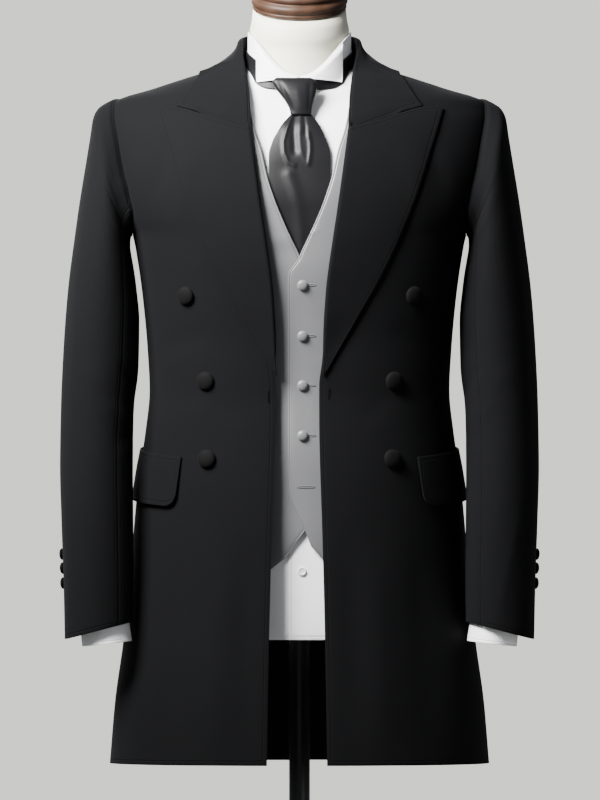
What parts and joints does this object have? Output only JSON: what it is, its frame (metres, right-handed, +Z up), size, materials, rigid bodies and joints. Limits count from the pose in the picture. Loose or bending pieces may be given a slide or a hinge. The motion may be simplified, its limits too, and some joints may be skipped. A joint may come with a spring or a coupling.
{
  "type": "morning suit on a dress form",
  "caption": "Black coat with peaked lapels over a light grey waistcoat, white wing-collar shirt and black tie, worn by a limbless dress form on a round base.",
  "frame": {"origin": "centre of the round base's underside", "axes": "+Z up along the pole, -Y towards the suit's front, +X towards the wearer's left"},
  "size_m": [0.5784, 0.3886, 1.5807],
  "materials": {
    "coat_cloth": "matt black barathea wool with a fine nap",
    "coat_button": "buttons covered in black cloth",
    "waistcoat_satin": "light grey satin with a soft sheen",
    "shirt_cotton": "pressed white cotton",
    "tie_satin": "black silk satin",
    "form_cover": "smooth cream covering",
    "turned_wood": "turned and varnished brown wood",
    "stand_metal": "black satin paint"
  },
  "bodies": {
    "root": {"coat_back_left": "coat_cloth", "coat_back_right": "coat_cloth", "coat_button_left_1": "coat_button", "coat_button_left_2": "coat_button", "coat_button_left_3": "coat_button", "coat_button_right_1": "coat_button", "coat_button_right_2": "coat_button", "coat_button_right_3": "coat_button", "coat_collar": "coat_cloth", "coat_flap_left": "coat_cloth", "coat_flap_right": "coat_cloth", "coat_front_left": "coat_cloth", "coat_front_right": "coat_cloth", "coat_lapel_left": "coat_cloth", "coat_lapel_right": "coat_cloth", "coat_top_sleeve_left": "coat_cloth", "coat_top_sleeve_right": "coat_cloth", "coat_under_sleeve_left": "coat_cloth", "coat_under_sleeve_right": "coat_cloth", "cuff_button_left_1": "coat_button", "cuff_button_left_2": "coat_button", "cuff_button_left_3": "coat_button", "cuff_button_right_1": "coat_button", "cuff_button_right_2": "coat_button", "cuff_button_right_3": "coat_button", "form_base": "stand_metal", "form_cap": "turned_wood", "form_pole": "stand_metal", "form_torso": "form_cover", "shirt_back": "shirt_cotton", "shirt_button": "shirt_cotton", "shirt_collar_band": "shirt_cotton", "shirt_cuff_left": "shirt_cotton", "shirt_cuff_right": "shirt_cotton", "shirt_front_left": "shirt_cotton", "shirt_front_right": "shirt_cotton", "shirt_sleeve_left": "shirt_cotton", "shirt_sleeve_right": "shirt_cotton", "shirt_wing_left": "shirt_cotton", "shirt_wing_right": "shirt_cotton", "tie_band": "tie_satin", "tie_blade": "tie_satin", "tie_knot": "tie_satin", "waistcoat_back": "waistcoat_satin", "waistcoat_button_1": "waistcoat_satin", "waistcoat_button_2": "waistcoat_satin", "waistcoat_button_3": "waistcoat_satin", "waistcoat_button_4": "waistcoat_satin", "waistcoat_front_left": "waistcoat_satin", "waistcoat_front_right": "waistcoat_satin"}
  },
  "joints": []
}
